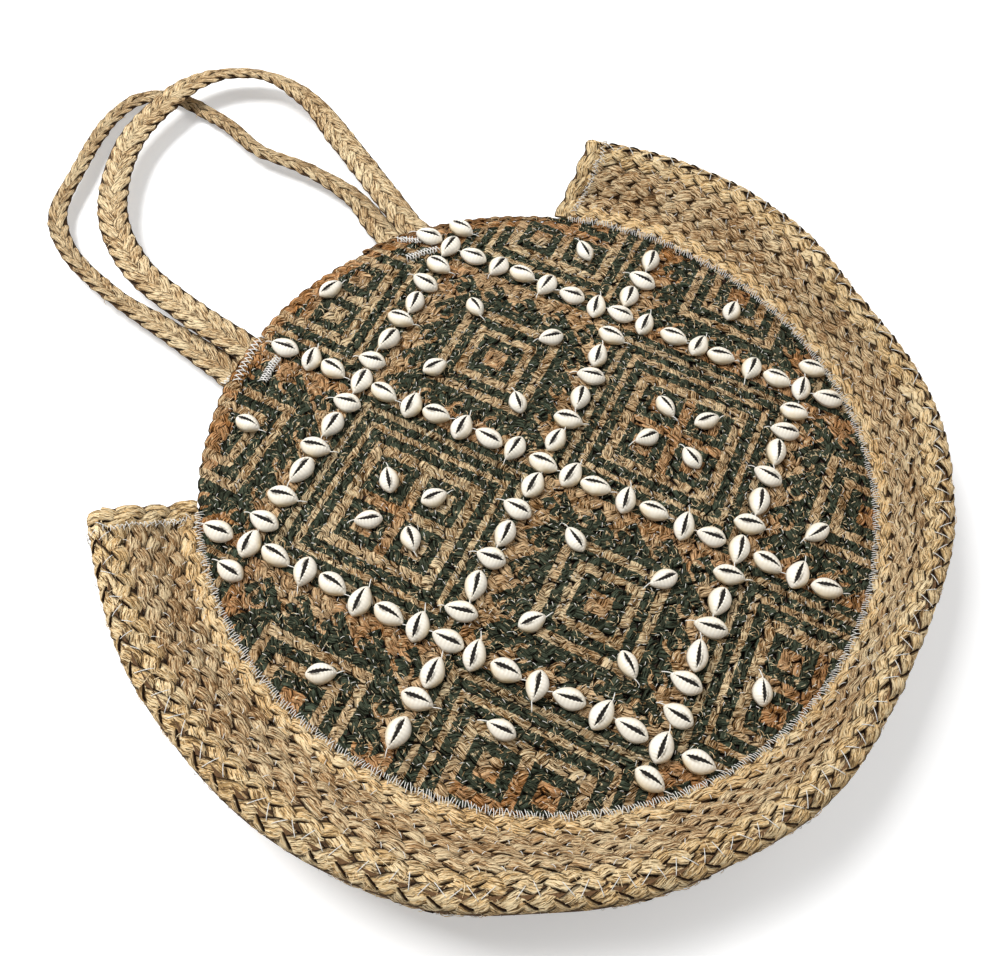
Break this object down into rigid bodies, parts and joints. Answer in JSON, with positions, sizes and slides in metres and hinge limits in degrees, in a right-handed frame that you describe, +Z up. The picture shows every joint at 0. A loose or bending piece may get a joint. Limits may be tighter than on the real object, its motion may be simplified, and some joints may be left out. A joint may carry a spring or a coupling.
{
  "type": "round straw tote bag",
  "caption": "Round braided jute tote bag lying on its back: two sewn discs, an outward folded gusset, two braided handles and a grid of cowrie shells.",
  "frame": {"origin": "centre of the back panel's outer face, which rests on the floor", "axes": "+Z up out of the front panel, +Y from the bag's bottom to its mouth and handles, +X to the right as the front panel is seen with the mouth up"},
  "size_m": [0.5227, 0.7143, 0.0659],
  "materials": {
    "jute": "natural braided jute, matt, a little hairy",
    "pale_jute": "paler natural braided jute, matt, with a slight sheen along the fibres",
    "printed_jute": "braided jute printed dark green, with tan and orange-brown lines left bare, matt",
    "cowrie": "cream white cowrie shell, satin, with a dark toothed slit"
  },
  "bodies": {
    "back": {"back_panel": "jute", "gusset_row_06": "jute", "gusset_row_07": "jute", "gusset_row_08": "jute", "gusset_row_09": "jute", "gusset_row_10": "jute", "gusset_row_11": "jute", "left_hem_back_half": "jute", "right_hem_back_half": "jute", "back_handle_left_end": "pale_jute", "back_handle_right_end": "pale_jute"},
    "front": {"front_panel": "printed_jute", "gusset_row_01": "pale_jute", "gusset_row_02": "pale_jute", "gusset_row_03": "pale_jute", "gusset_row_04": "pale_jute", "gusset_row_05": "pale_jute", "left_hem_front_half": "pale_jute", "right_hem_front_half": "pale_jute", "front_handle_left_end": "pale_jute", "front_handle_right_end": "pale_jute", "shell_line_1": "cowrie", "shell_line_2": "cowrie", "shell_line_3": "cowrie", "shell_cross_line_1_part_1": "cowrie", "shell_cross_line_1_part_2": "cowrie", "shell_cross_line_1_part_3": "cowrie", "shell_cross_line_1_part_4": "cowrie", "shell_cross_line_2_part_1": "cowrie", "shell_cross_line_2_part_2": "cowrie", "shell_cross_line_2_part_3": "cowrie", "shell_cross_line_2_part_4": "cowrie", "shell_cross_line_3_part_1": "cowrie", "shell_cross_line_3_part_2": "cowrie", "shell_cross_line_3_part_3": "cowrie", "shell_cross_line_3_part_4": "cowrie", "shell_group_1": "cowrie", "shell_group_2": "cowrie", "shell_group_3": "cowrie", "shell_group_4": "cowrie", "single_shell_1": "cowrie", "single_shell_2": "cowrie", "single_shell_3": "cowrie", "single_shell_4": "cowrie", "single_shell_5": "cowrie", "single_shell_6": "cowrie", "single_shell_7": "cowrie", "single_shell_8": "cowrie"},
    "front_handle": {"front_handle": "pale_jute"},
    "back_handle": {"back_handle": "pale_jute"}
  },
  "joints": [
    {"name": "mouth_opening", "type": "hinge", "parent": "back", "child": "front", "pos_m": [0, -0.2125, 0.022], "axis": [1, 0, 0], "range_deg": [0, 12], "deforming": ["gusset_row_01", "gusset_row_02", "gusset_row_03", "gusset_row_04", "gusset_row_05", "left_hem_front_half", "right_hem_front_half"]},
    {"name": "front_handle_swing", "type": "hinge", "parent": "front", "child": "front_handle", "pos_m": [0, 0.2065, 0.026], "axis": [1, 0, 0], "range_deg": [0, 150]},
    {"name": "back_handle_swing", "type": "hinge", "parent": "back", "child": "back_handle", "pos_m": [0, 0.2065, 0.0152], "axis": [1, 0, 0], "range_deg": [0, 75]}
  ],
  "couplings": [
    {"joint": "back_handle_swing", "follows": "front_handle_swing", "ratio": 0.5}
  ]
}
